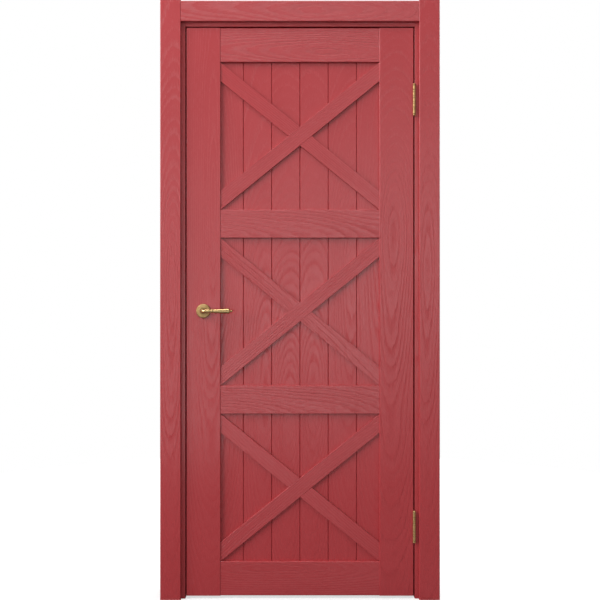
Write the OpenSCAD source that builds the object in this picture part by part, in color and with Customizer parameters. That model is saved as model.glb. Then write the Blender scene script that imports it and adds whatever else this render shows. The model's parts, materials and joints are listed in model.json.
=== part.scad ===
// Interior door in its frame: a framed leaf filled with boards, ledged and cross-braced on both faces.
// Millimetres, +Z up. The front faces -Y, the floor is z = 0, x = 0 is the middle of the doorway,
// and y = 0 is the front face of the jambs, which the front of the shut leaf lies flush with.

/* [Leaf] */
// Width of the leaf
leaf_w = 800; // [600:1:1000]
// Height of the leaf
leaf_h = 2000; // [1900:1:2200]
// Thickness of the leaf over its stiles
leaf_t = 40; // [38:0.5:46]
// Width of each stile
stile_w = 120; // [110:1:150]
// Height of the top rail and of the bottom rail
rail_h = 120; // [90:1:160]
// Height of each ledge between the fields
ledge_h = 100; // [70:1:140]
// Width of each brace
brace_w = 52; // [35:1:65]
// Visible width of the board next to each stile
outer_plank_w = 80; // [50:1:100]
// Depth of the rail and ledge faces below the stile faces
rail_step = 1.5; // [0.5:0.1:3]
// Depth of the brace faces below the stile faces
brace_step = 4; // [3.2:0.1:7]
// Depth of the board faces below the stile faces
plank_step = 12; // [10:0.1:13]
// Depth to which boards and tenons enter their grooves
housing_d = 10; // [6:0.5:14]
// Thickness of the tongue on a board's edge
tongue_t = 6; // [4:0.1:7]
// Length of the tongue on a board's edge
tongue_l = 7; // [4:0.5:10]
// Width of the V between two boards
vee_w = 4; // [2:0.1:6]
// Depth of the V between two boards
vee_d = 2.5; // [1:0.1:3]
// Open joint between two boards
plank_gap = 0.5; // [0.2:0.1:1]
// Radius of the eased edges of the stiles, rails, ledges and latch bolt
edge_r = 2.5; // [0.5:0.1:3]
// Radius of the eased edges of a brace
brace_r = 1; // [0.4:0.1:3]

/* [Frame] */
// Thickness of a jamb where the leaf shuts into it
jamb_t = 28; // [27:1:40]
// Depth of a jamb, which is the thickness of the wall
jamb_d = 100; // [80:1:160]
// Width of the stop beside the leaf
stop_w = 12; // [11:0.5:18]
// Radius of the eased edges of a jamb
jamb_r = 1; // [0.5:0.1:2]
// Width of a casing board
casing_w = 72; // [50:1:120]
// Thickness of a side casing
casing_t = 16; // [12:0.5:17]
// How far the head casing lies behind the faces of the side casings
casing_step = 1; // [0.2:0.1:3]
// Width of jamb left showing beside a casing
reveal = 14.5; // [10:0.5:18]
// How far the side casings run past the head casing
casing_horn = 4; // [1:0.5:30]
// Radius of the eased edges of a casing
casing_r = 2.5; // [1:0.1:4]
// Width of the seal's bulb
seal_w = 8; // [6:0.5:9]
// Width of the seal's stem in its groove
seal_stem_w = 3.8; // [2:0.1:5]
// Depth of the seal's stem in its groove
seal_stem_d = 6.5; // [4:0.5:10]
// Distance of the seal's middle from the corner of the rebate
seal_inset = 6; // [5:0.1:6.5]

/* [Gaps and fits] */
// Gap under the leaf
floor_gap = 10; // [4:1:20]
// Gap beside the leaf
side_gap = 3.8; // [3:0.1:5]
// Gap above the leaf
head_gap = 4.5; // [3:0.1:7]
// Gap behind the leaf that the seal fills
seal_gap = 3; // [2:0.1:5]
// Air left between the seal and the shut leaf
seal_air = 0.3; // [0.3:0.1:1]
// Clearance on each side of a glued or screwed wooden joint
wood_fit = 0.2; // [0.1:0.05:0.4]
// Clearance on the side of a brace at its half-lap
lap_fit = 0.1; // [0.05:0.05:0.3]
// Radial clearance of a turning fit
running_fit = 0.05; // [0.02:0.01:0.08]
// Clearance around metal pieces let into wood or metal
metal_fit = 0.1; // [0.05:0.05:0.3]
// Clearance around the sliding bolt
slide_fit = 0.3; // [0.3:0.05:0.6]
// Gap between two knuckles
knuckle_gap = 0.3; // [0.2:0.05:0.5]

/* [Hinges] */
// Height of a hinge without its tips
hinge_h = 100; // [90:1:120]
// Width of a hinge plate let into the wood
hinge_plate_w = 30; // [24:1:34]
// Thickness of a hinge plate
hinge_plate_t = 2.5; // [2:0.1:3]
// Radius of a knuckle
knuckle_r = 5.25; // [4.6:0.05:5.4]
// Chamfer at the ends of the knuckles and rings
knuckle_chamfer = 1; // [0.2:0.1:1.2]
// Radius of the hinge pin
pin_r = 3; // [2.5:0.1:3.5]
// Distance of the hinge pin in front of the leaf's face
knuckle_proud = 6; // [5.8:0.1:8]
// Height of the knuckle at each end
end_knuckle_h = 16; // [12:0.5:18]
// Height of a knuckle on the leaf's plate
door_knuckle_h = 13.6; // [10:0.1:16]
// Height of a bearing ring
bearing_h = 6.8; // [3:0.1:7]
// Height of the tip at each end of a pin
hinge_tip_h = 7; // [4:0.5:12]
// Distance of the upper hinge's middle below the top of the leaf
upper_hinge_drop = 254; // [150:1:400]
// Distance of the lower hinge's middle above the bottom of the leaf
lower_hinge_rise = 244; // [150:1:400]

/* [Lock] */
// Height of the lever's axis above the bottom of the leaf
lock_rise = 1003; // [900:1:1100]
// Distance of the lever's axis from the edge of the leaf
backset = 60; // [50:1:65]
// Width of the forend in the edge of the leaf
forend_w = 20; // [16:1:24]
// Length of the forend
forend_l = 150; // [130:1:180]
// Thickness of the forend and of the strike plate
forend_t = 2.5; // [2:0.1:4]
// Corner radius of the forend and of the strike plate
forend_r = 4; // [1:0.5:7]
// Thickness of the lock case
case_t = 14; // [13:0.5:15]
// Height of the lock case
case_h = 90; // [70:1:100]
// Depth of the lock case past the lever's axis
case_past = 20; // [16:1:24]
// Wall of the lock case
case_wall = 1.2; // [0.8:0.1:1.6]
// Thickness of the latch bolt
bolt_t = 10; // [6:0.5:10]
// Height of the latch bolt
bolt_h = 22; // [14:1:30]
// Length of the latch bolt's head
bolt_l = 24; // [20:1:26]
// Gap between the latch bolt's tail and the follower
bolt_tail_gap = 4; // [2:0.5:8]
// Thickness of the latch bolt's tail
bolt_tail_t = 5; // [3:0.5:6]
// Height of the latch bolt's tail
bolt_tail_h = 11; // [6:0.5:14]
// Width of the lug under the latch bolt's tail
bolt_lug_w = 5; // [3:0.5:8]
// Height of that lug
bolt_lug_h = 7; // [4:0.5:10]
// Thickness of the strip that the lock's springs are bent from
spring_t = 0.5; // [0.3:0.05:0.8]
// Width of that strip
spring_w = 5; // [3:0.5:8]
// Radius of the bends in the springs
spring_r = 4; // [2.5:0.5:6]
// Length of the leg of a spring that lies on the wall of the case
spring_foot = 16; // [10:1:24]
// Throw of the latch bolt
bolt_throw = 12; // [8:0.5:12]
// Length of the strike plate
strike_l = 110; // [90:1:140]
// Distance of the screws from the ends of the forend and of the strike plate
plate_screw_inset = 10; // [8:0.5:14]
// Gap between the thrown bolt and the magnet behind the strike plate
magnet_gap = 4.5; // [1:0.5:6]
// Thickness of that magnet
magnet_t = 6; // [3:0.5:7]

/* [Handle] */
// Diameter of a rose
rose_d = 50; // [48:0.5:56]
// Thickness of a rose
rose_t = 9; // [8:0.5:12]
// Wall of a rose
rose_wall = 2; // [1.5:0.1:2.5]
// Radius of the rose's outer edge
rose_round = 3.5; // [2:0.1:4]
// Rise of the rose's face from its edge to its middle
rose_crown = 1; // [0.4:0.1:1.5]
// Depth of the recess in the rose round the lever's neck
rose_recess = 1; // [0.4:0.1:1.3]
// Radius of the lever's journal in the rose
journal_r = 8.5; // [8:0.1:9]
// Radius of the lever's neck
neck_r = 6.6; // [6:0.1:7]
// Radius of the neck's bend
bend_r = 14; // [12:0.5:18]
// Distance of the lever's middle line in front of the leaf
lever_reach = 50; // [44:1:60]
// Length of the lever from its axis to the tip of its ball
lever_l = 107; // [95:1:140]
// Radius of the swelling between the neck and the collar
swell_r = 7.2; // [6.5:0.1:8]
// Length of the lever from its axis to its collar
collar_at = 33; // [31:0.5:42]
// Width of the collar
collar_w = 5; // [3:0.5:8]
// Radius of the collar
collar_r = 7.7; // [6:0.1:9]
// Radius of the grip beside the collar
grip_r0 = 6.9; // [5.5:0.1:8]
// Largest radius of the grip
grip_r1 = 9.4; // [8:0.1:11]
// Width of the groove on each side of the collar
collar_groove = 2; // [1:0.1:3]
// Depth of those grooves below the grip
collar_groove_d = 1; // [0.5:0.1:2]
// Size of the small chamfers on the lever
lever_bead = 0.5; // [0.3:0.05:0.6]
// Length of the rounded shoulder between the grip and the ball
shoulder_l = 6; // [3:0.1:9]
// Radius of the ball at the lever's tip
ball_r = 4.2; // [3:0.1:5]
// Width of the square spindle
spindle_s = 8; // [7:0.1:8.4]
// Distance of each end of the spindle from the lever's bend
spindle_short = 2; // [1:0.5:6]
// Radius of the hole for the spindle in the leaf
spindle_hole_r = 11; // [9:0.5:12]
// Radius of the follower's journals
follower_r = 8; // [7.6:0.1:9]
// Radius of the follower's disc inside the case
follower_disc_r = 9.5; // [9:0.1:11]
// Reach of the follower's arm
follower_arm_l = 15; // [12:0.5:15.5]
// Width of the follower's arm
follower_arm_w = 7; // [4:0.5:8]
// Radius of the bolts that clamp the two roses
rose_bolt_r = 2; // [1.5:0.1:2.2]
// Wall round such a bolt under the rose
rose_boss_wall = 1.5; // [1:0.1:2]
// Room round such a bolt in the leaf
rose_bolt_play = 1.5; // [0.5:0.1:2]
// Distance between those two bolts
rose_bolt_gap = 38; // [36:0.5:40]

/* [Fasteners] */
// Radius of a screw's shank
screw_r = 2; // [1.5:0.1:2.5]
// Radius of a screw's head
screw_head_r = 4; // [3.5:0.1:4.5]
// Length of a screw in a hinge, the strike or the forend
screw_l = 24; // [16:1:25]
// Length of a screw at a corner of the frame
corner_screw_l = 75; // [60:1:90]
// Radius of the holes for the screws into the wall
fixing_r = 4; // [3:0.1:5]
// Distance of the outermost of those holes from each end of a jamb
fixing_end = 250; // [150:1:300]

/* [Hidden] */
$fn = 64;

// Segments in an eased edge, and the overrun of a cut past the face that it opens
arc_steps = 5;
cut = 1;
// Turns of the bends in the lock's two springs, and the angle at which the lever's ball leaves its shoulder
lever_spring_turn = 150;
latch_spring_turn = 60;
ball_turn = 138;

// Leaf
leaf_x = leaf_w / 2;
field_x = leaf_x - stile_w;
leaf_z0 = floor_gap;
leaf_z1 = leaf_z0 + leaf_h;
field_count = 3;
ledge_count = field_count - 1;
field_h = (leaf_h - 2 * rail_h - ledge_count * ledge_h) / field_count;
field_z = [for (i = [0 : ledge_count]) leaf_z0 + rail_h + i * (field_h + ledge_h)];
plank_count = 6;
plank_pitch = 2 * (field_x - outer_plank_w) / (plank_count - 2);
plank_y1 = leaf_t - plank_step;
housing_end = housing_d + wood_fit;
// The edges of a brace run through two opposite corners of its field
brace_a = acos(brace_w / norm([2 * field_x, field_h])) - atan2(2 * field_x, field_h);
lap_y = (brace_step + plank_step) / 2;

// Frame
rebate_x = leaf_x + side_gap;
stop_x = rebate_x - stop_w;
jamb_x = rebate_x + jamb_t;
rebate_z = leaf_z1 + head_gap;
stop_z = rebate_z - stop_w;
jamb_z = rebate_z + jamb_t;
stop_y = leaf_t + seal_gap;
casing_x0 = rebate_x + reveal;
casing_x1 = casing_x0 + casing_w;
casing_z0 = rebate_z + reveal;
casing_z1 = casing_z0 + casing_w;
seal_x = rebate_x - seal_inset;
seal_z = rebate_z - seal_inset;
fixing_count = 4;
fixing_y = (stop_y + jamb_d) / 2;
fixing_z = [for (i = [0 : fixing_count - 1]) fixing_end + i * (jamb_z - 2 * fixing_end) / (fixing_count - 1)];
corner_screw_y = [stop_y / 2, fixing_y];
corner_screw_z = (rebate_z + jamb_z) / 2;

// Hinges
hinge_x = (leaf_x + rebate_x) / 2;
hinge_y = -knuckle_proud;
hinge_z = [leaf_z1 - upper_hinge_drop, leaf_z0 + lower_hinge_rise];
end_from = hinge_h / 2 - end_knuckle_h;
door_to = end_from - bearing_h;
door_from = door_to - door_knuckle_h;
middle_to = door_from - bearing_h;
jamb_knuckles = [[-hinge_h / 2, -end_from], [-middle_to, middle_to], [end_from, hinge_h / 2]];
door_knuckles = [[-door_to, -door_from], [door_from, door_to]];
upper_bearings = [[middle_to, door_from], [door_to, end_from]];
bearing_bands = concat(upper_bearings, [for (band = upper_bearings) [-band[1], -band[0]]]);
hinge_screw_count = 4;
hinge_screws = [for (i = [0 : hinge_screw_count - 1])
  [hinge_plate_w * (1 + i % 2) / 3, hinge_h * ((i + 0.5) / hinge_screw_count - 0.5)]];

// Lock and handle
middle_y = leaf_t / 2;
lock_x = backset - leaf_x;
lock_z = leaf_z0 + lock_rise;
case_x0 = forend_t - leaf_x;
case_x1 = lock_x + case_past;
bolt_tail_x = lock_x - follower_disc_r - bolt_tail_gap;
pocket_d = bolt_throw - side_gap + magnet_gap + magnet_t;
pocket_r = [bolt_t / 2 + 2 * slide_fit, bolt_h / 2 + 2 * slide_fit];
rose_bolt_x = rose_bolt_gap / 2;
rose_bolt_end = rose_t - rose_wall - metal_fit;
rose_bolt_room = rose_bolt_r + rose_bolt_play;
rose_boss_r = rose_bolt_r + rose_boss_wall;
rose_hub_r = journal_r + rose_wall;
spindle_end = lever_reach - bend_r - spindle_short;
ball_at = lever_l - ball_r;
ball_neck_r = ball_r * sin(ball_turn);
grip_from = collar_at + collar_w + collar_groove;
grip_to = ball_at - ball_r - shoulder_l;
waist_r = grip_r0 - collar_groove_d;

// Colours
enamel = "#b04a4e";
enamel_dark = "#a03f43";
brass = "#c9a452";
steel = "#9a9ca0";
rubber = "#3a2a2a";

// Shapes used by many pieces

// Points of an arc about c from angle a0 to angle a1
function arc(c, r, a0, a1) =
  [for (i = [0 : arc_steps]) let (a = a0 + (a1 - a0) * i / arc_steps) c + r * [cos(a), sin(a)]];

// One corner of an outline, eased by r about a centre that lies along s from the corner
function eased_corner(p, s, r, a0) = r > 0 ? arc(p + r * s, r, a0, a0 + 90) : [p];

// Rectangle from p0 to p1 with a radius for each corner, counter-clockwise from p0
function eased(p0, p1, r) = concat(
  eased_corner(p0, [1, 1], r[0], 180),
  eased_corner([p1[0], p0[1]], [-1, 1], r[1], 270),
  eased_corner(p1, [-1, -1], r[2], 0),
  eased_corner([p0[0], p1[1]], [1, -1], r[3], 90)
);

function all_corners(r) = [r, r, r, r];

// Box between two opposite corners
module box(p0, p1) translate(p0) cube(p1 - p0);

// Section drawn in x and y, run from z0 to z1
module along_z(z0, z1) translate([0, 0, z0]) linear_extrude(z1 - z0) children();

// Section drawn in y and z, run from x0 to x1
module along_x(x0, x1) translate([x0, 0, 0]) rotate([90, 0, 90]) linear_extrude(x1 - x0) children();

// Children that stand along +Z, laid along -Y
module towards_front() rotate([90, 0, 0]) children();

// The same piece on the other side of the doorway, the other face of the leaf, the other face of the wall
module other_side() mirror([1, 0, 0]) children();
module rear_of_leaf() translate([0, leaf_t, 0]) mirror([0, 1, 0]) children();
module rear_of_frame() translate([0, jamb_d, 0]) mirror([0, 1, 0]) children();

// Countersunk screw pointing down -Z with its head at z = 0, and the hole that it fills
module screw(l) {
  slot = screw_r / 2;
  difference() {
    screw_form(l, 0);
    for (a = [0, 90])
      rotate(a) translate([0, 0, -slot / 2]) cube([2 * screw_r, slot, slot + cut / 2], center = true);
  }
}

module screw_form(l, fit) {
  head_h = screw_head_r - screw_r;
  rotate_extrude()
    polygon([
      [0, 0], [screw_head_r + fit, 0], [screw_r + fit, -head_h],
      [screw_r + fit, screw_head_r - l - fit], [0, -l - fit]
    ]);
}

module screw_hole(l) {
  screw_form(l, metal_fit);
  translate([0, 0, -metal_fit / 2]) cylinder(r = screw_head_r + metal_fit, h = cut);
}

// A child pointing down -Z is turned to point along +X or -X
module point_to_plus_x() rotate([0, -90, 0]) children();
module point_to_minus_x() rotate([0, 90, 0]) children();

// Places of the screws
module at_hinge_screws(x)
  for (z = hinge_z, s = hinge_screws)
    translate([x, s[0], z + s[1]]) children();

module at_plate_screws(x, l)
  for (s = [-1, 1])
    translate([x, middle_y, lock_z + s * (l / 2 - plate_screw_inset)]) children();

module at_corner_screws()
  for (y = corner_screw_y)
    translate([jamb_x, y, corner_screw_z]) point_to_minus_x() children();

// Frame

// Groove for the seal's stem, round three sides of the doorway
module seal_strips(half_w, y0, y1, r, foot) {
  top = seal_z + half_w;
  section_side = eased([seal_x - half_w, y0], [seal_x + half_w, y1], [r, r, 0, 0]);
  section_head = eased([y0, seal_z - half_w], [y1, seal_z + half_w], [r, 0, 0, r]);
  along_z(-foot, top) polygon(section_side);
  other_side() along_z(-foot, top) polygon(section_side);
  along_x(-seal_x - half_w, seal_x + half_w) polygon(section_head);
}

module seal_groove()
  seal_strips(seal_stem_w / 2 + metal_fit, stop_y - cut, stop_y + seal_stem_d + metal_fit, 0, cut);

module door_seal() color(rubber) {
  seal_strips(seal_stem_w / 2, stop_y - seal_air, stop_y + seal_stem_d, 0, 0);
  seal_strips(seal_w / 2, leaf_t + seal_air, stop_y, (stop_y - leaf_t) / 2, 0);
}

// Jamb on the hinge side, before it is cut for its hardware
module side_jamb_blank()
  difference() {
    along_z(0, jamb_z)
      polygon(concat(
        arc([rebate_x + jamb_r, jamb_r], jamb_r, 180, 270),
        [[jamb_x, 0], [jamb_x, jamb_d]],
        arc([stop_x + jamb_r, jamb_d - jamb_r], jamb_r, 90, 180),
        arc([stop_x + jamb_r, stop_y + jamb_r], jamb_r, 180, 270),
        [[rebate_x, stop_y]]
      ));
    seal_groove();
    for (z = fixing_z)
      translate([stop_x - cut, fixing_y, z])
        rotate([0, 90, 0]) cylinder(r = fixing_r, h = jamb_x - stop_x + 2 * cut);
    at_corner_screws() screw_hole(corner_screw_l);
  }

module hinge_jamb() color(enamel_dark)
  difference() {
    side_jamb_blank();
    for (z = hinge_z)
      translate([0, 0, z])
        box([rebate_x - cut, -cut, -hinge_h / 2 - metal_fit],
          [rebate_x + hinge_plate_t, hinge_plate_w + metal_fit, hinge_h / 2 + metal_fit]);
    at_hinge_screws(rebate_x) point_to_plus_x() screw_hole(screw_l);
  }

module strike_jamb() color(enamel_dark)
  difference() {
    other_side() side_jamb_blank();
    plate_blank(-rebate_x - forend_t, cut - rebate_x, strike_l, metal_fit);
    box([-rebate_x - pocket_d, middle_y - pocket_r[0], lock_z - pocket_r[1]],
      [-rebate_x, middle_y + pocket_r[0], lock_z + pocket_r[1]]);
    at_plate_screws(-rebate_x, strike_l) point_to_minus_x() screw_hole(screw_l);
  }

module head_jamb() color(enamel_dark)
  difference() {
    union() {
      along_x(-rebate_x, rebate_x)
        polygon(eased([0, rebate_z], [stop_y, jamb_z], [jamb_r, 0, 0, 0]));
      along_x(-stop_x, stop_x)
        polygon(eased([stop_y, stop_z], [jamb_d, jamb_z], [jamb_r, jamb_r, 0, 0]));
    }
    seal_groove();
    at_corner_screws() screw_hole(corner_screw_l);
    other_side() at_corner_screws() screw_hole(corner_screw_l);
  }

module frame_corner_screws() color(steel) {
  at_corner_screws() screw(corner_screw_l);
  other_side() at_corner_screws() screw(corner_screw_l);
}

// Front casings, and the same on the far side of the wall
module casing_right() color(enamel)
  along_z(0, casing_z1 + casing_horn)
    polygon(eased([casing_x0, -casing_t], [casing_x1, 0], [casing_r, casing_r, 0, 0]));

module casing_left() other_side() casing_right();

module casing_head() color(enamel)
  along_x(-casing_x0, casing_x0)
    polygon(eased([casing_step - casing_t, casing_z0], [0, casing_z1], [casing_r, 0, 0, casing_r]));

// Strike

// Flat plate with round corners in the edge of the leaf or the face of the jamb
module plate_blank(x0, x1, l, fit)
  along_x(x0, x1)
    polygon(eased([middle_y - forend_w / 2 - fit, lock_z - l / 2 - fit],
      [middle_y + forend_w / 2 + fit, lock_z + l / 2 + fit], all_corners(forend_r + fit)));

module strike_plate() color(brass)
  difference() {
    plate_blank(-rebate_x - forend_t, -rebate_x, strike_l, 0);
    box([-rebate_x - forend_t - cut, middle_y - pocket_r[0], lock_z - pocket_r[1]],
      [cut - rebate_x, middle_y + pocket_r[0], lock_z + pocket_r[1]]);
    at_plate_screws(-rebate_x, strike_l) point_to_minus_x() screw_hole(screw_l);
  }

module strike_magnet() color(steel)
  box([-rebate_x - pocket_d, middle_y - pocket_r[0] + metal_fit, lock_z - pocket_r[1] + metal_fit],
    [-rebate_x - pocket_d + magnet_t, middle_y + pocket_r[0] - metal_fit, lock_z + pocket_r[1] - metal_fit]);

// Hinges

// Knuckle between two heights, with half a gap at each end
module knuckle(band, r)
  translate([hinge_x, hinge_y, band[0] + knuckle_gap / 2])
    chamfered_cylinder(r, band[1] - band[0] - knuckle_gap, knuckle_chamfer);

module chamfered_cylinder(r, h, c)
  rotate_extrude() polygon([[0, 0], [r - c, 0], [r, c], [r, h - c], [r - c, h], [0, h]]);

module pin_bore()
  translate([hinge_x, hinge_y, -hinge_h / 2 - cut]) cylinder(r = pin_r + running_fit, h = hinge_h + 2 * cut);

// Plate from x0 to x1 that wraps round the pin at its own knuckles
module hinge_plate(x0, x1, bands)
  difference() {
    union() {
      box([x0, 0, -hinge_h / 2], [x1, hinge_plate_w, hinge_h / 2]);
      for (band = bands) {
        box([x0, hinge_y, band[0] + knuckle_gap / 2], [x1, hinge_plate_w / 2, band[1] - knuckle_gap / 2]);
        knuckle(band, knuckle_r);
      }
    }
    pin_bore();
  }

module hinge_jamb_plate(z) color(brass)
  difference() {
    translate([0, 0, z]) hinge_plate(rebate_x, rebate_x + hinge_plate_t, jamb_knuckles);
    at_hinge_screws(rebate_x) point_to_plus_x() screw_hole(screw_l);
  }

module hinge_door_plate(z) color(brass)
  difference() {
    translate([0, 0, z]) hinge_plate(leaf_x - hinge_plate_t, leaf_x, door_knuckles);
    at_hinge_screws(leaf_x) point_to_minus_x() screw_hole(screw_l);
  }

// Pin with a rounded tip at each end
module hinge_pin(z) color(brass)
  translate([hinge_x, hinge_y, z]) {
    half_h = hinge_h / 2;
    neck = hinge_tip_h / 8;
    tip_round = hinge_tip_h / 2;
    tip = concat(
      [[pin_r, half_h], [knuckle_r, half_h], [knuckle_r, half_h + neck]],
      [[knuckle_r - neck, half_h + 2 * neck]],
      arc([knuckle_r - tip_round, half_h + hinge_tip_h - tip_round], tip_round, 0, 90)
    );
    lower_tip = [for (i = [len(tip) - 1 : -1 : 0]) [tip[i][0], -tip[i][1]]];
    rotate_extrude()
      polygon(concat([[0, -half_h - hinge_tip_h]], lower_tip, tip, [[0, half_h + hinge_tip_h]]));
  }

module hinge_bearings() color(brass)
  for (z = hinge_z)
    translate([0, 0, z])
      difference() {
        for (band = bearing_bands)
          knuckle(band, knuckle_r);
        pin_bore();
      }

// Screws of the hinges and the strike in the frame, and of the hinges and the forend in the leaf
module frame_wood_screws() color(brass) {
  at_hinge_screws(rebate_x) point_to_plus_x() screw(screw_l);
  at_plate_screws(-rebate_x, strike_l) point_to_minus_x() screw(screw_l);
}

module leaf_wood_screws() color(brass) {
  at_hinge_screws(leaf_x) point_to_minus_x() screw(screw_l);
  at_plate_screws(-leaf_x, forend_l) point_to_plus_x() screw(screw_l);
}

// Leaf

// Stile on the hinge side, with the groove that takes the boards and the tenons
module stile_blank()
  difference() {
    along_z(leaf_z0, leaf_z1)
      polygon(eased([field_x, 0], [leaf_x, leaf_t], all_corners(edge_r)));
    box([field_x - cut, plank_step - wood_fit, leaf_z0 - cut],
      [field_x + housing_end, plank_y1 + wood_fit, leaf_z1 + cut]);
  }

module hinge_stile() color(enamel)
  difference() {
    stile_blank();
    for (z = hinge_z)
      translate([0, 0, z])
        box([leaf_x - hinge_plate_t, -cut, -hinge_h / 2 - metal_fit],
          [leaf_x + cut, hinge_plate_w + metal_fit, hinge_h / 2 + metal_fit]);
    at_hinge_screws(leaf_x) point_to_minus_x() screw_hole(screw_l);
  }

module lock_stile() color(enamel)
  difference() {
    other_side() stile_blank();
    plate_blank(-leaf_x - cut, forend_t - leaf_x, forend_l, metal_fit);
    box([-leaf_x, middle_y - case_t / 2 - wood_fit, lock_z - case_h / 2 - wood_fit],
      [case_x1 + wood_fit, middle_y + case_t / 2 + wood_fit, lock_z + case_h / 2 + wood_fit]);
    at_plate_screws(-leaf_x, forend_l) point_to_plus_x() screw_hole(screw_l);
    through_leaf() cylinder(r = spindle_hole_r, h = leaf_t + 2 * cut);
    at_rose_bolts() through_leaf() cylinder(r = rose_bolt_room, h = leaf_t + 2 * cut);
  }

// A child that stands on +Z, run through the leaf at the lever's axis
module through_leaf() translate([lock_x, leaf_t + cut, lock_z]) towards_front() children();

module at_rose_bolts()
  for (s = [-1, 1])
    translate([0, 0, s * rose_bolt_x]) children();

// Top or bottom rail, with its groove at the edge that faces a field and a tenon at each end
module rail(field_edge, outer_edge) {
  away = sign(outer_edge - field_edge);
  groove_end = field_edge + away * housing_end;
  low = min(field_edge, outer_edge);
  high = max(field_edge, outer_edge);
  color(enamel) {
    difference() {
      along_x(-field_x, field_x)
        polygon(eased([rail_step, low], [leaf_t - rail_step, high], all_corners(edge_r)));
      box([-field_x - cut, plank_step - wood_fit, min(field_edge - away * cut, groove_end)],
        [field_x + cut, plank_y1 + wood_fit, max(field_edge - away * cut, groove_end)]);
    }
    box([-field_x - housing_d, plank_step, min(groove_end, outer_edge)],
      [field_x + housing_d, plank_y1, max(groove_end, outer_edge)]);
  }
}

module top_rail() rail(field_z[ledge_count] + field_h, leaf_z1);
module bottom_rail() rail(field_z[0], leaf_z0);

// Board, counted from the lock side, with a groove on its left edge and a tongue on its right one
function plank_edge(i) =
  i == 0 ? -field_x - housing_d
  : i == plank_count ? field_x + housing_d
  : outer_plank_w - field_x + (i - 1) * plank_pitch;

module plank(i) {
  first = i == 1;
  last = i == plank_count;
  a = plank_edge(i - 1) + (first ? 0 : plank_gap / 2);
  b = plank_edge(i) - (last ? 0 : plank_gap / 2);
  lip = vee_w / 2 - plank_gap / 2;
  tongue = tongue_t / 2;
  groove = tongue + wood_fit;
  color(enamel)
    along_z(field_z[0] - housing_d, field_z[ledge_count] + field_h + housing_d)
      polygon(concat(
        first ? [[a, plank_step]] : [[a, plank_step + vee_d], [a + lip, plank_step]],
        last ? [[b, plank_step], [b, plank_y1]] : [
          [b - lip, plank_step], [b, plank_step + vee_d],
          [b, middle_y - tongue], [b + tongue_l, middle_y - tongue],
          [b + tongue_l, middle_y + tongue], [b, middle_y + tongue],
          [b, plank_y1 - vee_d], [b - lip, plank_y1]
        ],
        first ? [[a, plank_y1]] : [
          [a + lip, plank_y1], [a, plank_y1 - vee_d],
          [a, middle_y + groove], [a + tongue_l, middle_y + groove],
          [a + tongue_l, middle_y - groove], [a, middle_y - groove]
        ]
      ));
}

// Ledge above field i on the front face
module ledge(i) color(enamel)
  along_x(-field_x, field_x)
    polygon(eased([rail_step, field_z[i] + field_h], [plank_step, field_z[i + 1]], [edge_r, 0, 0, edge_r]));

// Brace across field i on the front face, rising to the right or falling
module brace(i, rising) {
  long = field_x + field_h;
  turn = rising ? -brace_a : brace_a;
  half = brace_w / 2;
  lap_half = half + lap_fit;
  color(enamel)
    difference() {
      intersection() {
        box([-field_x, 0, field_z[i]], [field_x, leaf_t, field_z[i] + field_h]);
        at_field(i) rotate([0, turn, 0])
          along_x(-long, long)
            polygon(eased([brace_step, -half], [plank_step, half], [brace_r, 0, 0, brace_r]));
      }
      at_field(i) rotate([0, -turn, 0])
        box([-long, rising ? lap_y : 0, -lap_half], [long, rising ? leaf_t : lap_y, lap_half]);
    }
}

module at_field(i) translate([0, 0, field_z[i] + field_h / 2]) children();

// Lock

module lock_case() color(steel)
  difference() {
    half_t = case_t / 2;
    half_h = case_h / 2;
    inner_t = half_t - case_wall;
    inner_h = half_h - case_wall;
    box([case_x0, middle_y - half_t, lock_z - half_h], [case_x1, middle_y + half_t, lock_z + half_h]);
    box([case_x0 + case_wall, middle_y - inner_t, lock_z - inner_h],
      [case_x1 - case_wall, middle_y + inner_t, lock_z + inner_h]);
    bolt_slot(case_x0 - cut, case_x0 + case_wall + cut);
    through_leaf() cylinder(r = follower_r + running_fit, h = leaf_t + 2 * cut);
    at_rose_bolts() through_leaf() cylinder(r = rose_bolt_room, h = leaf_t + 2 * cut);
  }

module bolt_slot(x0, x1)
  box([x0, middle_y - bolt_t / 2 - slide_fit, lock_z - bolt_h / 2 - slide_fit],
    [x1, middle_y + bolt_t / 2 + slide_fit, lock_z + bolt_h / 2 + slide_fit]);

module lock_forend() color(brass)
  difference() {
    plate_blank(-leaf_x, forend_t - leaf_x, forend_l, 0);
    bolt_slot(-leaf_x - cut, forend_t - leaf_x + cut);
    at_plate_screws(-leaf_x, forend_l) point_to_plus_x() screw_hole(screw_l);
  }

// Bolt with its nose flush with the forend, and a thinner tail with a lug for its spring
module latch_bolt() color(steel) {
  head_x = bolt_l - leaf_x;
  along_x(-leaf_x, head_x)
    polygon(eased([middle_y - bolt_t / 2, lock_z - bolt_h / 2], [middle_y + bolt_t / 2, lock_z + bolt_h / 2],
      all_corners(edge_r)));
  box([head_x - cut, middle_y - bolt_tail_t / 2, lock_z - bolt_tail_h / 2],
    [bolt_tail_x, middle_y + bolt_tail_t / 2, lock_z + bolt_tail_h / 2]);
  box([bolt_tail_x - bolt_lug_w, middle_y - bolt_tail_t / 2, lock_z - bolt_tail_h / 2 - bolt_lug_h],
    [bolt_tail_x, middle_y + bolt_tail_t / 2, lock_z - bolt_tail_h / 2 + cut]);
}

// Outline of a bent strip of thickness t that follows the points p
function strip(p, t) = let (
  last = len(p) - 1,
  ahead = [for (i = [0 : last]) p[min(i + 1, last)] - p[max(i - 1, 0)]],
  side = [for (d = ahead) [-d[1], d[0]] * t / 2 / norm(d)]
) concat(
  [for (i = [0 : last]) p[i] + side[i]],
  [for (i = [last : -1 : 0]) p[i] - side[i]]
);

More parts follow.
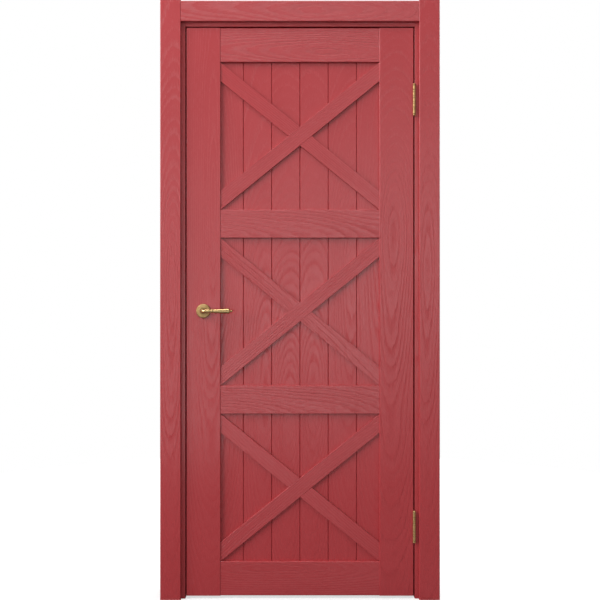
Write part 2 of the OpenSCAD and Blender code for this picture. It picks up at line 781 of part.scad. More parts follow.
// Flat spring in the lock, along points that are counted from the lever's axis
module flat_spring(p) color(steel)
  translate([lock_x, middle_y + spring_w / 2, lock_z])
    towards_front() linear_extrude(spring_w) polygon(strip(p, spring_t));

// Spring on the back wall of the case that returns the follower's arm
module lever_spring() {
  wall_x = case_past - case_wall - spring_t / 2;
  bend_z = follower_arm_l + 2 * spring_r;
  flat_spring(concat(
    [[wall_x, bend_z - spring_foot]],
    arc([wall_x - spring_r, bend_z], spring_r, 0, lever_spring_turn),
    [[follower_arm_w / 2 + slide_fit + spring_t / 2, follower_arm_l - spring_t]]
  ));
}

// Spring on the floor of the case that draws the bolt in by its lug
module latch_spring() {
  floor_z = case_wall + spring_t / 2 - case_h / 2;
  foot_x = case_x0 + case_wall + spring_t - lock_x;
  lug_x = bolt_tail_x - bolt_lug_w - lock_x;
  flat_spring(concat(
    [[foot_x, floor_z]],
    arc([foot_x + spring_foot, floor_z + spring_r], spring_r, 270, 270 + latch_spring_turn),
    [[lug_x - slide_fit - spring_t / 2, spring_t - bolt_tail_h / 2 - bolt_lug_h / 2]]
  ));
}

// Follower that turns in the case, with the arm that draws the bolt
module lock_follower() color(steel) {
  disc_half = case_t / 2 - case_wall - slide_fit;
  difference() {
    translate([lock_x, 0, lock_z]) {
      towards_front() translate([0, 0, -middle_y]) {
        cylinder(r = follower_r, h = case_t, center = true);
        cylinder(r = follower_disc_r, h = 2 * disc_half, center = true);
      }
      box([-follower_arm_w / 2, middle_y - disc_half / 2, 0],
        [follower_arm_w / 2, middle_y + disc_half / 2, follower_arm_l]);
    }
    square_bore(0, leaf_t);
  }
}

// Square hole for the spindle between two depths
module square_bore(y0, y1) {
  half = spindle_s / 2 + metal_fit;
  box([lock_x - half, y0, lock_z - half], [lock_x + half, y1, lock_z + half]);
}

module spindle() color(steel) {
  half = spindle_s / 2;
  box([lock_x - half, -spindle_end, lock_z - half], [lock_x + half, leaf_t + spindle_end, lock_z + half]);
}

// Handle

module at_lock() translate([lock_x, 0, lock_z]) children();

// Rose on the front face: a turned shell with a hub round the lever and a boss for each bolt
module rose() color(brass)
  at_lock() towards_front()
    difference() {
      r = rose_d / 2;
      bore = journal_r + running_fit;
      under = rose_t - rose_wall;
      union() {
        rotate_extrude()
          polygon(concat(
            [[bore, 0], [rose_hub_r, 0], [rose_hub_r, under], [r - rose_round, under]],
            [[r - rose_wall, under - rose_round], [r - rose_wall, 0], [r, 0]],
            arc([r - rose_round, rose_t - rose_crown - rose_round], rose_round, 0, 90),
            [[rose_hub_r + rose_wall, rose_t], [rose_hub_r + rose_wall, rose_t - rose_recess]],
            [[bore, rose_t - rose_recess]]
          ));
        for (s = [-1, 1])
          translate([0, s * rose_bolt_x, 0]) cylinder(r = rose_boss_r, h = under + rose_wall / 4);
      }
      for (s = [-1, 1])
        translate([0, s * rose_bolt_x, -cut]) cylinder(r = rose_bolt_r + running_fit, h = under + cut);
    }

module rose_bolts() color(steel)
  at_rose_bolts()
    translate([lock_x, leaf_t + rose_bolt_end, lock_z])
      towards_front() cylinder(r = rose_bolt_r, h = leaf_t + 2 * rose_bolt_end);

// Outline of the lever from its bend to its ball, as distance along it and radius
function lever_outline() = let (
  swell_from = bend_r + collar_groove,
  swell_to = collar_at - collar_groove,
  swell = [for (i = [0 : 2 * arc_steps]) let (t = i / (2 * arc_steps))
    [swell_from + t * (swell_to - swell_from),
      neck_r + (waist_r - neck_r) * t * t + (swell_r - neck_r) * (1 - cos(360 * t))]],
  collar_end = collar_at + collar_w
) concat(
  [[bend_r, 0], [bend_r, neck_r]],
  swell,
  [[collar_at - lever_bead, waist_r], [collar_at, collar_r - lever_bead]],
  [[collar_at + lever_bead, collar_r], [collar_end - lever_bead, collar_r]],
  [[collar_end, collar_r - lever_bead], [collar_end + lever_bead, waist_r]],
  [[grip_from - lever_bead, waist_r], [grip_from, grip_r0]],
  [for (i = [0 : 2 * arc_steps]) let (a = 90 * i / (2 * arc_steps))
    [grip_to + shoulder_l * sin(a), ball_neck_r + (grip_r1 - ball_neck_r) * cos(a)]],
  arc([ball_at, 0], ball_r, ball_turn, 0)
);

module lever() color(brass)
  difference() {
    at_lock() {
      towards_front()
        rotate_extrude()
          polygon([
            [0, running_fit], [journal_r, running_fit], [journal_r, rose_t + lever_bead],
            [neck_r + lever_bead, rose_t + 2 * lever_bead], [neck_r, rose_t + collar_groove],
            [neck_r, lever_reach - bend_r], [0, lever_reach - bend_r]
          ]);
      translate([bend_r, bend_r - lever_reach, 0]) rotate([0, 0, 180])
        rotate_extrude(angle = 90) translate([bend_r, 0]) circle(r = neck_r);
      translate([0, -lever_reach, 0]) rotate([90, 0, 90])
        rotate_extrude() polygon([for (p = lever_outline()) [p[1], p[0]]]);
    }
    square_bore(-spindle_end - metal_fit, 0);
  }

// Every node by name
strike_jamb();
hinge_jamb();
head_jamb();
door_seal();
casing_left();  // front_casing_left
casing_right();  // front_casing_right
casing_head();  // front_casing_head
rear_of_frame() casing_left();  // rear_casing_left
rear_of_frame() casing_right();  // rear_casing_right
rear_of_frame() casing_head();  // rear_casing_head
strike_plate();
strike_magnet();
frame_wood_screws();
frame_corner_screws();
hinge_jamb_plate(hinge_z[0]);  // upper_hinge_jamb_plate
hinge_jamb_plate(hinge_z[1]);  // lower_hinge_jamb_plate
hinge_pin(hinge_z[0]);  // upper_hinge_pin
hinge_pin(hinge_z[1]);  // lower_hinge_pin
hinge_bearings();
lock_stile();
hinge_stile();
top_rail();
bottom_rail();
plank(1);  // plank_1
plank(2);  // plank_2
plank(3);  // plank_3
plank(4);  // plank_4
plank(5);  // plank_5
plank(6);  // plank_6
ledge(1);  // front_upper_ledge
ledge(0);  // front_lower_ledge
rear_of_leaf() ledge(1);  // rear_upper_ledge
rear_of_leaf() ledge(0);  // rear_lower_ledge
brace(0, true);  // front_lower_rising_brace
brace(0, false);  // front_lower_falling_brace
brace(1, true);  // front_middle_rising_brace
brace(1, false);  // front_middle_falling_brace
brace(2, true);  // front_upper_rising_brace
brace(2, false);  // front_upper_falling_brace
rear_of_leaf() brace(0, true);  // rear_lower_rising_brace
rear_of_leaf() brace(0, false);  // rear_lower_falling_brace
rear_of_leaf() brace(1, true);  // rear_middle_rising_brace
rear_of_leaf() brace(1, false);  // rear_middle_falling_brace
rear_of_leaf() brace(2, true);  // rear_upper_rising_brace
rear_of_leaf() brace(2, false);  // rear_upper_falling_brace
hinge_door_plate(hinge_z[0]);  // upper_hinge_door_plate
hinge_door_plate(hinge_z[1]);  // lower_hinge_door_plate
leaf_wood_screws();
lock_case();
lock_forend();
lever_spring();
latch_spring();
rose();  // front_rose
rear_of_leaf() rose();  // rear_rose
rose_bolts();
lever();  // front_lever
rear_of_leaf() lever();  // rear_lever
spindle();
lock_follower();
latch_bolt();
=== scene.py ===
"""Looks of the interior door: red enamel over open-pored ash, satin brass hardware, a white studio.

Lengths are metres and colours are linear.
"""
import json
import math
import random

import bpy
from mathutils import Matrix, Vector


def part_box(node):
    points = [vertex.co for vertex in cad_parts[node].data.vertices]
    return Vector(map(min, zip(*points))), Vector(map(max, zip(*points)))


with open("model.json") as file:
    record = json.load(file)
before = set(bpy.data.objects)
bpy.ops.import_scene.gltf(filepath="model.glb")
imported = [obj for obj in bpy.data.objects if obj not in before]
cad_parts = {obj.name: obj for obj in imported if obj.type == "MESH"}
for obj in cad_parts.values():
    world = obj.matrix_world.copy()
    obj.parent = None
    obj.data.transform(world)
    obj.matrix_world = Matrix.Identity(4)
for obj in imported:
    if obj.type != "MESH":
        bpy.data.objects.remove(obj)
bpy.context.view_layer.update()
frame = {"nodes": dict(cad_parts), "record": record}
nodes = frame["nodes"]
slot_of = {part["node"]: part["material_slot"] for part in frame["record"]["subparts"]}

# Enamel: the body of the paint, the paler strokes of the grain, the deeper porous bands
ENAMEL = (0.410, 0.041, 0.047)
ENAMEL_PALE = (0.450, 0.066, 0.073)
ENAMEL_DEEP = (0.345, 0.025, 0.029)

# Brass: clean, dull with patina, polished by hands, and a dark colour painted as shade into its corners
BRASS = (0.53, 0.362, 0.168)
BRASS_DULL = (0.38, 0.235, 0.095)
BRASS_HANDLED = (0.60, 0.430, 0.195)
BRASS_PAINTED_SHADE = (0.10, 0.055, 0.022)

# Zinc on steel: the middle and the rim of a spangle
ZINC = (0.50, 0.52, 0.55)
ZINC_RIM = (0.36, 0.37, 0.39)

# Rubber: plain and with bloom
RUBBER = (0.020, 0.010, 0.010)
RUBBER_BLOOM = (0.045, 0.025, 0.024)


# Node trees

# Places of the colour sockets of a mix node
FIRST_COLOUR = 6
SECOND_COLOUR = 7
MIXED_COLOUR = 2


def feed(socket, source):
    """Link a socket to another node's output, or set its own value."""
    if isinstance(source, bpy.types.NodeSocket):
        socket.id_data.links.new(source, socket)
    else:
        socket.default_value = source


def add(tree, kind, inputs=None, **settings):
    """New node of a kind, with its settings and what feeds its inputs."""
    made = tree.nodes.new(kind)
    for name, value in settings.items():
        setattr(made, name, value)
    for key, source in (inputs or {}).items():
        feed(made.inputs[key], source)
    return made


def calc(tree, operation, *values):
    return add(tree, "ShaderNodeMath", dict(enumerate(values)), operation=operation).outputs[0]


def stretched(tree, vector, scale):
    made = add(tree, "ShaderNodeVectorMath", {0: vector, 1: scale}, operation="MULTIPLY")
    return made.outputs[0]


def noise(tree, vector, detail=2.0, roughness=0.5):
    inputs = {"Vector": vector, "Scale": 1.0, "Detail": detail, "Roughness": roughness}
    return add(tree, "ShaderNodeTexNoise", inputs).outputs["Fac"]


def between(tree, value, low, high, to_low=0.0, to_high=1.0):
    """Smooth step from to_low to to_high as the value goes from low to high."""
    inputs = {"Value": value, "From Min": low, "From Max": high, "To Min": to_low, "To Max": to_high}
    return add(tree, "ShaderNodeMapRange", inputs, interpolation_type="SMOOTHSTEP").outputs["Result"]


def rgba(colour):
    return colour if isinstance(colour, bpy.types.NodeSocket) else (*colour, 1.0)


def mixed(tree, share, first, second):
    """First colour, with a share of the second."""
    made = add(tree, "ShaderNodeMix", {"Factor": share}, data_type="RGBA")
    feed(made.inputs[FIRST_COLOUR], rgba(first))
    feed(made.inputs[SECOND_COLOUR], rgba(second))
    return made.outputs[MIXED_COLOUR]


def ramp(tree, value, stops):
    """Grey that changes with the value through the stops, each a place and a grey."""
    made = add(tree, "ShaderNodeValToRGB", {"Fac": value})
    points = made.color_ramp.elements
    while len(points) < len(stops):
        points.new(1.0)
    for point, (place, grey) in zip(points, stops):
        point.position = place
        point.color = (grey, grey, grey, 1.0)
    return made.outputs["Color"]


def new_material(name):
    material = bpy.data.materials.new(name)
    material.use_nodes = True
    tree = material.node_tree
    tree.nodes.clear()
    shader = add(tree, "ShaderNodeBsdfPrincipled")
    output = add(tree, "ShaderNodeOutputMaterial")
    tree.links.new(shader.outputs[0], output.inputs["Surface"])
    return material, tree, shader


def show(name, material):
    slots = nodes[name].data.materials
    slots.clear()
    slots.append(material)


# Figure of the ash

# How finely each noise of the figure runs along a board, across it and through it
WANDER_SCALE = (2.0, 4.0, 4.0)
SHIVER_SCALE = (22.0, 150.0, 150.0)
BRUSHED_SCALE = (40.0, 420.0, 420.0)
PORE_SCALE = (90.0, 1600.0, 1600.0)
CLOUD_SCALE = (2.5, 9.0, 9.0)

# How far the heart of the tree wanders and the rings shiver
WANDER = 0.012
SHIVER = 0.0006

# How round the tips of the arches are
ARCH_TIP = 0.05

# Strength of a ring from its start to its end, and that of the weakest ring
RING_PULSE = ((0.0, 0.0), (0.14, 1.0), (0.34, 0.6), (0.65, 0.1), (1.0, 0.0))
WEAKEST_RING = 0.3

# What brushing leaves of a porous band, what a band takes from the strokes, how many pores lie between bands
# and how many more in them
BAND_BRUSHED = 0.45
STROKES_LOST = 0.7
PORES_BETWEEN = 0.2
PORES_IN_BAND = 0.8


def ash_figure():
    """Group that turns a point of a board, which lies along x, into its growth rings, strokes and pores."""
    tree = bpy.data.node_groups.new("ash_figure", "ShaderNodeTree")
    face = tree.interface
    face.new_socket("Point", in_out="INPUT", socket_type="NodeSocketVector")
    for name in ("Depth", "Rise", "Slope", "Ring"):
        face.new_socket(name, in_out="INPUT", socket_type="NodeSocketFloat")
    for name in ("Band", "Strokes", "Pores"):
        face.new_socket(name, in_out="OUTPUT", socket_type="NodeSocketFloat")
    given = add(tree, "NodeGroupInput").outputs
    point = given["Point"]
    parts = add(tree, "ShaderNodeSeparateXYZ", {0: point}).outputs

    # The heart of the tree comes closest under one place of the board, which draws arches round it
    wander = noise(tree, stretched(tree, point, WANDER_SCALE), 1.0)
    shiver = noise(tree, stretched(tree, point, SHIVER_SCALE), 2.0)
    along_squared = calc(tree, "POWER", parts["X"], 2.0)
    bow = calc(tree, "SQRT", calc(tree, "ADD", along_squared, ARCH_TIP ** 2))
    depth = calc(tree, "MULTIPLY_ADD", bow, given["Rise"], given["Depth"])
    depth = calc(tree, "MULTIPLY_ADD", parts["X"], given["Slope"], depth)
    depth = calc(tree, "ADD", depth, parts["Z"])
    depth = calc(tree, "ADD", depth, between(tree, wander, 0.2, 0.8, -WANDER, WANDER))
    depth_squared = calc(tree, "POWER", depth, 2.0)
    across_squared = calc(tree, "POWER", parts["Y"], 2.0)
    radius = calc(tree, "SQRT", calc(tree, "ADD", depth_squared, across_squared))
    radius = calc(tree, "ADD", radius, between(tree, shiver, 0.25, 0.75, -SHIVER, SHIVER))

    # Each ring starts with a porous band and fades, more or less strongly from ring to ring
    rings = calc(tree, "DIVIDE", radius, given["Ring"])
    number = calc(tree, "FLOOR", rings)
    strength = add(tree, "ShaderNodeTexWhiteNoise", {"W": number}, noise_dimensions="1D").outputs["Value"]
    strength = between(tree, strength, 0.0, 1.0, WEAKEST_RING, 1.0)
    pulse = ramp(tree, calc(tree, "FRACT", rings), RING_PULSE)
    brushed = noise(tree, stretched(tree, point, BRUSHED_SCALE), 2.0)
    band = calc(tree, "MULTIPLY", pulse, strength)
    band = calc(tree, "MULTIPLY", band, between(tree, brushed, 0.35, 0.65, 1.0, BAND_BRUSHED))

    # Strokes and the finer open pores run along the board, the pores close together in the porous bands
    strokes_left = calc(tree, "MULTIPLY_ADD", band, -STROKES_LOST, 1.0)
    strokes = calc(tree, "MULTIPLY", between(tree, brushed, 0.45, 0.70), strokes_left)
    grain = noise(tree, stretched(tree, point, PORE_SCALE), 1.0)
    pores_there = calc(tree, "MULTIPLY_ADD", band, PORES_IN_BAND, PORES_BETWEEN)
    pores = calc(tree, "MULTIPLY", between(tree, grain, 0.50, 0.66), pores_there)

    out = add(tree, "NodeGroupOutput").inputs
    feed(out["Band"], band)
    feed(out["Strokes"], strokes)
    feed(out["Pores"], pores)
    return tree


FIGURE = ash_figure()


# Enamel

# Directions of a board along, across and through it
UPRIGHT = ((0, 0, 1), (1, 0, 0), (0, 1, 0))
LEVEL = ((1, 0, 0), (0, 0, -1), (0, 1, 0))

# Rings of upright boards fade between these heights, to this share of their strength
CALM_FROM = 1.35
CALM_TO = 1.62
CALM_SHARE = 0.2

# Shares of the deep colour in bands and clouds, and of the pale one in strokes
BAND_DEEP = 0.25
CLOUD_DEEP = 0.25
STROKE_PALE = 0.30

# Roughness of the paint, and what bands, strokes and pores add to it
PAINT_ROUGH = 0.25
BAND_ROUGH = 0.30
STROKE_ROUGH = -0.05
PORE_ROUGH = 0.10

# Bump: how far bands and pores sink and the skin of the paint rises, as shares of the bump's depth
BAND_RISE = -1.0
PORE_RISE = -0.5
SKIN_RISE = 0.06
SKIN_SCALE = (900.0, 900.0, 900.0)
BUMP_DEPTH = 0.0006
BUMP_STRENGTH = 0.6

# How much more the grooves of the grain spread gloss across the board than along it
GLOSS_SPREAD = 0.8


def enamel(name, axes, heart, figure_of_board, relief, ior):
    """Enamel on one board: axes are its directions along, across and through, heart a point on the grain's
    line, relief how strongly the grain shows, ior the index of its gloss."""
    material, tree, shader = new_material("enamel_" + name)
    place = add(tree, "ShaderNodeTexCoord").outputs["Object"]
    turned = Matrix(axes).transposed().to_euler()
    mapping = {"Vector": place, "Location": heart, "Rotation": turned}
    point = add(tree, "ShaderNodeMapping", mapping, vector_type="TEXTURE").outputs[0]
    figure = add(tree, "ShaderNodeGroup", node_tree=FIGURE)
    feed(figure.inputs["Point"], point)
    for key, value in figure_of_board.items():
        feed(figure.inputs[key], value)
    band, strokes, pores = figure.outputs
    if axes is UPRIGHT:
        height_up = add(tree, "ShaderNodeSeparateXYZ", {0: place}).outputs["Z"]
        band = calc(tree, "MULTIPLY", band, between(tree, height_up, CALM_FROM, CALM_TO, 1.0, CALM_SHARE))

    # Colour: deeper in the porous bands and in slow clouds, paler along the strokes between them
    clouds = noise(tree, stretched(tree, point, CLOUD_SCALE), 2.0)
    clouds = between(tree, clouds, 0.3, 0.75, 0.0, CLOUD_DEEP)
    deep = calc(tree, "MULTIPLY_ADD", band, BAND_DEEP * relief, clouds)
    colour = mixed(tree, calc(tree, "MULTIPLY", strokes, STROKE_PALE), ENAMEL, ENAMEL_PALE)
    feed(shader.inputs["Base Color"], mixed(tree, deep, colour, ENAMEL_DEEP))

    # Satin paint, duller where the bands and pores break its surface
    rough = calc(tree, "MULTIPLY_ADD", band, BAND_ROUGH, PAINT_ROUGH)
    rough = calc(tree, "MULTIPLY_ADD", strokes, STROKE_ROUGH, rough)
    feed(shader.inputs["Roughness"], calc(tree, "MULTIPLY_ADD", pores, PORE_ROUGH, rough))
    feed(shader.inputs["IOR"], ior)

    # Bands and pores lie lower than the rest
    skin = noise(tree, stretched(tree, place, SKIN_SCALE), 1.0)
    height = calc(tree, "MULTIPLY_ADD", pores, PORE_RISE, calc(tree, "MULTIPLY", band, BAND_RISE))
    height = calc(tree, "MULTIPLY_ADD", skin, SKIN_RISE, height)
    pressed = {"Strength": BUMP_STRENGTH, "Distance": BUMP_DEPTH * relief, "Height": height}
    bump = add(tree, "ShaderNodeBump", pressed)
    feed(shader.inputs["Normal"], bump.outputs[0])

    # The grooves of the grain spread gloss across the board
    turn = add(tree, "ShaderNodeVectorTransform", {0: axes[1]}, vector_type="VECTOR",
               convert_from="OBJECT", convert_to="WORLD")
    feed(shader.inputs["Tangent"], turn.outputs[0])
    feed(shader.inputs["Anisotropic"], GLOSS_SPREAD)
    return material


# Boards

# Width of a brace, which with its field gives the brace's lean
BRACE_W = 0.052

# Seed and ranges of the figure of a board that has no row of its own: how far along the board its heart lies
# from the middle, how far across as a share of the width, how deep it lies there, how fast it sinks both
# ways, how much faster forward; and for every board how wide a ring is
GRAIN_SEED = 41
ALONG = (-0.5, 0.5)
ACROSS_SHARE = (-0.6, 0.6)
DEPTH = (0.012, 0.060)
RISE = (0.05, 0.12)
SLOPE = (-0.03, 0.03)
RING = (0.0066, 0.0082)

# Figure of the boards whose arches stand out, in the same order, with the second value in metres
ARCHES = {
    "hinge_stile": (0.30, -0.012, 0.026, 0.17, 0.07),
    "front_casing_left": (0.06, 0.006, 0.010, 0.10, 0.03),
    "front_casing_right": (0.12, -0.008, 0.010, 0.11, 0.03),
    "plank_3": (-0.42, 0.006, 0.024, 0.14, 0.01),
    "plank_4": (-0.36, -0.010, 0.030, 0.13, 0.00),
    "plank_5": (0.16, 0.030, 0.026, 0.12, 0.03),
    "top_rail": (0.10, 0.020, 0.030, 0.12, 0.02),
}

# How strongly the grain shows, on upright boards, on other boards and where it does so more or less
UPRIGHT_RELIEF = 0.45
OTHER_RELIEF = 1.3
RELIEF = {
    "lock_stile": 0.3,
    "front_casing_left": 0.9,
    "front_casing_right": 1.0,
    "hinge_stile": 1.3,
    "top_rail": 1.8,
    "front_lower_ledge": 1.7,
    "bottom_rail": 0.7,
    "front_middle_falling_brace": 2.2,
    "front_middle_rising_brace": 2.0,
    "rear_middle_falling_brace": 2.2,
    "rear_middle_rising_brace": 2.0,
}

# Index of the gloss of plain boards, and of boards that shine more, told by a part of their names
PLAIN_INDEX = 1.5
GLOSS_INDEX = {
    "casing_head": 1.66,
    "ledge": 1.66,
    "top_rail": 1.60,
    "upper_rising": 1.55,
    "upper_falling": 1.55,
    "middle_rising": 1.62,
    "middle_falling": 1.62,
}


def leaning(name):
    """Directions of a brace, whose edges run through two opposite corners of its field."""
    low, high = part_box(name)
    w = high.x - low.x
    h = high.z - low.z
    lean = math.acos(BRACE_W / math.hypot(w, h)) - math.atan2(w, h)
    if "falling" in name:
        lean = -lean
    return ((math.cos(lean), 0, math.sin(lean)), (math.sin(lean), 0, -math.cos(lean)), (0, 1, 0))


def board_axes(name):
    if name.endswith("_brace"):
        return leaning(name)
    if name.endswith(("_rail", "_ledge", "_head")) or name == "head_jamb":
        return LEVEL
    return UPRIGHT


def dress_boards():
    """Give each board a run of grain of its own. Draws are made for every board, used or not."""
    chance = random.Random(GRAIN_SEED)
    for name in sorted(n for n in nodes if slot_of[n] == "red_enamel"):
        axes = board_axes(name)
        low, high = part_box(name)
        width = min(high.x - low.x, high.z - low.z)
        along = chance.uniform(*ALONG)
        across = width * chance.uniform(*ACROSS_SHARE)
        depth = chance.uniform(*DEPTH)
        rise = chance.uniform(*RISE)
        slope = chance.uniform(*SLOPE)
        along, across, depth, rise, slope = ARCHES.get(name, (along, across, depth, rise, slope))
        heart = (low + high) / 2 + Vector(axes[0]) * along + Vector(axes[1]) * across
        ring = chance.uniform(*RING)
        figure = {"Depth": depth, "Rise": rise, "Slope": slope, "Ring": ring}
        relief = RELIEF.get(name, UPRIGHT_RELIEF if axes is UPRIGHT else OTHER_RELIEF)
        ior = next((index for part, index in GLOSS_INDEX.items() if part in name), PLAIN_INDEX)
        show(name, enamel(name, axes, heart, figure, relief, ior))


# Metal and rubber

# Brass: how fine its patina is and how much rougher that makes it, how far the painted shade reaches out of a
# corner and how much rougher that makes it, how fine, deep and strong the marks of casting are
PATINA_SCALE = (90.0, 90.0, 90.0)
PATINA_ROUGH = 0.16
PAINTED_SHADE_REACH = 0.003
CORNER_ROUGH = 0.25
CAST_SCALE = (700.0, 700.0, 700.0)
CAST_DEPTH = 0.0002
CAST_STRENGTH = 0.12

# How fine the spangles of the zinc are, and how far out in one its rim lies
SPANGLE_SCALE = 260.0
SPANGLE_R = 0.8

# How fine the bloom of the rubber is
BLOOM_SCALE = (40.0, 40.0, 40.0)


def brass(name, clean, base_rough, dullness, painted_shade_strength):
    """Brass of a clean colour and a roughness, with patina as far as it is dull, and with shade painted into
    its corners as strongly as painted_shade_strength says."""
    material, tree, shader = new_material(name)
    place = add(tree, "ShaderNodeTexCoord").outputs["Object"]
    patina = noise(tree, stretched(tree, place, PATINA_SCALE), 4.0, 0.6)
    cast = noise(tree, stretched(tree, place, CAST_SCALE), 2.0)
    # Painted shade: where the AO node finds corners and creases, the brass colour is darkened towards the
    # painted shade colour
    open_sky = add(tree, "ShaderNodeAmbientOcclusion", {"Distance": PAINTED_SHADE_REACH}, samples=8).outputs["AO"]
    painted_shade = between(tree, open_sky, 0.50, 0.95, painted_shade_strength, 0.0)
    colour = mixed(tree, between(tree, patina, 0.40, 0.70, 0.0, dullness), clean, BRASS_DULL)
    feed(shader.inputs["Base Color"], mixed(tree, painted_shade, colour, BRASS_PAINTED_SHADE))
    rough = calc(tree, "MULTIPLY_ADD", patina, PATINA_ROUGH * dullness, base_rough)
    feed(shader.inputs["Roughness"], calc(tree, "MULTIPLY_ADD", painted_shade, CORNER_ROUGH, rough))
    strength = CAST_STRENGTH * dullness
    bump = add(tree, "ShaderNodeBump", {"Strength": strength, "Distance": CAST_DEPTH, "Height": cast})
    feed(shader.inputs["Normal"], bump.outputs[0])
    feed(shader.inputs["Metallic"], 1.0)
    return material


def steel():
    material, tree, shader = new_material("zinc_steel")
    place = add(tree, "ShaderNodeTexCoord").outputs["Object"]
    spangle = add(tree, "ShaderNodeTexVoronoi", {"Vector": place, "Scale": SPANGLE_SCALE}).outputs["Distance"]
    feed(shader.inputs["Base Color"], mixed(tree, between(tree, spangle, 0.0, SPANGLE_R), ZINC, ZINC_RIM))
    feed(shader.inputs["Roughness"], between(tree, spangle, 0.0, SPANGLE_R, 0.28, 0.42))
    feed(shader.inputs["Metallic"], 1.0)
    return material


def rubber():
    material, tree, shader = new_material("seal_rubber")
    place = add(tree, "ShaderNodeTexCoord").outputs["Object"]
    bloom = noise(tree, stretched(tree, place, BLOOM_SCALE), 3.0)
    feed(shader.inputs["Base Color"], mixed(tree, bloom, RUBBER, RUBBER_BLOOM))
    feed(shader.inputs["Roughness"], between(tree, bloom, 0.3, 0.7, 0.55, 0.75))
    return material


def dress_fittings():
    """Finish by slot, but for the levers, which hands keep bright."""
    aged = brass("aged_brass", BRASS, base_rough=0.52, dullness=1.0, painted_shade_strength=0.95)
    finish = {"aged_brass": aged, "steel": steel(), "rubber": rubber()}
    handled = brass("handled_brass", BRASS_HANDLED, base_rough=0.25, dullness=0.15, painted_shade_strength=0.65)
    for name, slot in slot_of.items():
        if name.endswith("_lever"):
            show(name, handled)
        elif slot in finish:
            show(name, finish[slot])


# Studio

WHITE = (1, 1, 1, 1)

# Camera: where it stands, and half the width it sees in the plane y = 0
CAMERA_AT = (0.0, -3.0, 1.0516)
HALF_VIEW = 1.0566
SENSOR_MM = 36.0

# Brightness of the room from straight down to straight up
ROOM_GLOW = ((0.0, 0.04), (0.45, 0.12), (0.50, 0.60), (0.60, 0.54), (0.72, 0.36), (1.0, 0.26))

# Brighter band ahead of the door and behind it: its edges up the room, its lean to the side, how closely it
# keeps to straight ahead, and its brightness
BAND_EDGES = ((0.385, 0.0), (0.47, 1.0), (0.515, 1.0), (0.565, 0.0))
BAND_LEAN = -0.27
BAND_FOCUS = 6.0
BAND_GLOW = 2.3

# Floor: its size, its grey to the light and to the camera, and how brightly the camera sees it glow near the
# door and far from it
FLOOR_R = 2.8
FLOOR_STEPS = 96
FLOOR_GREY = (0.155, 0.155, 0.155)
FLOOR_GREY_SEEN = (0.35, 0.35, 0.35)
FLOOR_ROUGH = 0.9
FLOOR_NEAR = 0.6
FLOOR_FAR = 2.3
FLOOR_GLOW_NEAR = 0.63
FLOOR_GLOW_FAR = 0.95

# Lights: where each stands, what it points at, its two sides, its power in watts
LIGHTS = {
    "key": ((-4.4, -2.2, 3.3), (0.0, 0.0, 1.0), (4.0, 4.0), 312.0),
    "overhead": ((-0.5, -1.3, 4.6), (0.0, -0.3, 1.1), (3.0, 1.2), 60.0),
    "rear_key": ((4.4, 2.3, 3.8), (0.0, 0.1, 1.1), (4.0, 4.0), 335.0),
    "rear_overhead": ((0.5, 1.4, 4.6), (0.0, 0.4, 1.1), (3.0, 1.2), 60.0),
}


def studio_camera():
    data = bpy.data.cameras.new("camera")
    data.sensor_width = SENSOR_MM
    data.lens = SENSOR_MM / 2 * abs(CAMERA_AT[1]) / HALF_VIEW
    camera = bpy.data.objects.new("camera", data)
    camera.location = CAMERA_AT
    camera.rotation_euler = (math.pi / 2, 0, 0)
    bpy.context.scene.collection.objects.link(camera)
    bpy.context.scene.camera = camera


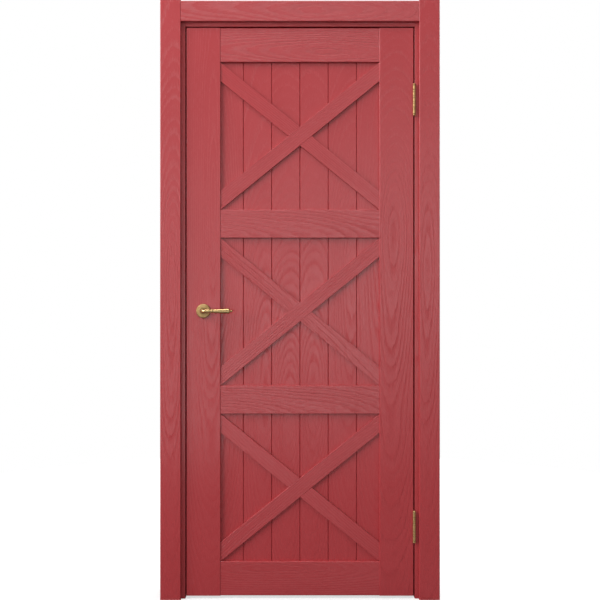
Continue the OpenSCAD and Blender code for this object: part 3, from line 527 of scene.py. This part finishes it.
def studio_world():
    """White to the camera; to the object a room that is brightest at eye level and dim near the floor."""
    world = bpy.data.worlds.new("studio")
    world.use_nodes = True
    bpy.context.scene.world = world
    tree = world.node_tree
    tree.nodes.clear()
    toward = add(tree, "ShaderNodeTexCoord").outputs["Generated"]
    axes = add(tree, "ShaderNodeSeparateXYZ", {0: toward}).outputs
    up = calc(tree, "MULTIPLY_ADD", axes["Z"], 0.5, 0.5)
    glow = ramp(tree, up, ROOM_GLOW)
    leant = calc(tree, "MULTIPLY_ADD", axes["X"], BAND_LEAN, up)
    band = ramp(tree, leant, BAND_EDGES)
    ahead = calc(tree, "POWER", calc(tree, "ABSOLUTE", axes["Y"]), BAND_FOCUS)
    glow = calc(tree, "MULTIPLY_ADD", calc(tree, "MULTIPLY", band, ahead), BAND_GLOW, glow)
    room = add(tree, "ShaderNodeBackground", {"Color": glow, "Strength": 1.0})
    white = add(tree, "ShaderNodeBackground", {"Color": WHITE, "Strength": 1.0})
    seen = add(tree, "ShaderNodeLightPath").outputs["Is Camera Ray"]
    both = add(tree, "ShaderNodeMixShader", {0: seen, 1: room.outputs[0], 2: white.outputs[0]})
    feed(add(tree, "ShaderNodeOutputWorld").inputs["Surface"], both.outputs[0])


def studio_floor():
    """Round floor, grey to the light, and to the camera as white as the room but for a faint shadow."""
    turns = [2 * math.pi * step / FLOOR_STEPS for step in range(FLOOR_STEPS)]
    points = [(FLOOR_R * math.cos(turn), FLOOR_R * math.sin(turn), 0.0) for turn in turns]
    mesh = bpy.data.meshes.new("floor")
    mesh.from_pydata(points, [], [list(range(FLOOR_STEPS))])
    floor = bpy.data.objects.new("floor", mesh)
    bpy.context.scene.collection.objects.link(floor)
    material, tree, shader = new_material("pale_floor")
    seen = add(tree, "ShaderNodeLightPath").outputs["Is Camera Ray"]
    feed(shader.inputs["Base Color"], mixed(tree, seen, FLOOR_GREY, FLOOR_GREY_SEEN))
    feed(shader.inputs["Roughness"], FLOOR_ROUGH)
    feed(shader.inputs["Emission Color"], WHITE)
    place = add(tree, "ShaderNodeTexCoord").outputs["Object"]
    away = add(tree, "ShaderNodeVectorMath", {0: place}, operation="LENGTH").outputs["Value"]
    glow = between(tree, away, FLOOR_NEAR, FLOOR_FAR, FLOOR_GLOW_NEAR, FLOOR_GLOW_FAR)
    feed(shader.inputs["Emission Strength"], calc(tree, "MULTIPLY", seen, glow))
    mesh.materials.append(material)


def area_light(name, place, target, sides, power):
    data = bpy.data.lights.new(name, "AREA")
    data.shape = "RECTANGLE"
    data.size, data.size_y = sides
    data.energy = power
    lamp = bpy.data.objects.new(name, data)
    lamp.location = place
    lamp.rotation_euler = (Vector(target) - Vector(place)).to_track_quat("-Z", "Y").to_euler()
    bpy.context.scene.collection.objects.link(lamp)


dress_boards()
dress_fittings()
studio_camera()
studio_world()
studio_floor()
for light, (stands, target, sides, power) in LIGHTS.items():
    area_light(light, stands, target, sides, power)

view = bpy.context.scene.view_settings
view.view_transform = "Standard"
view.look = "None"
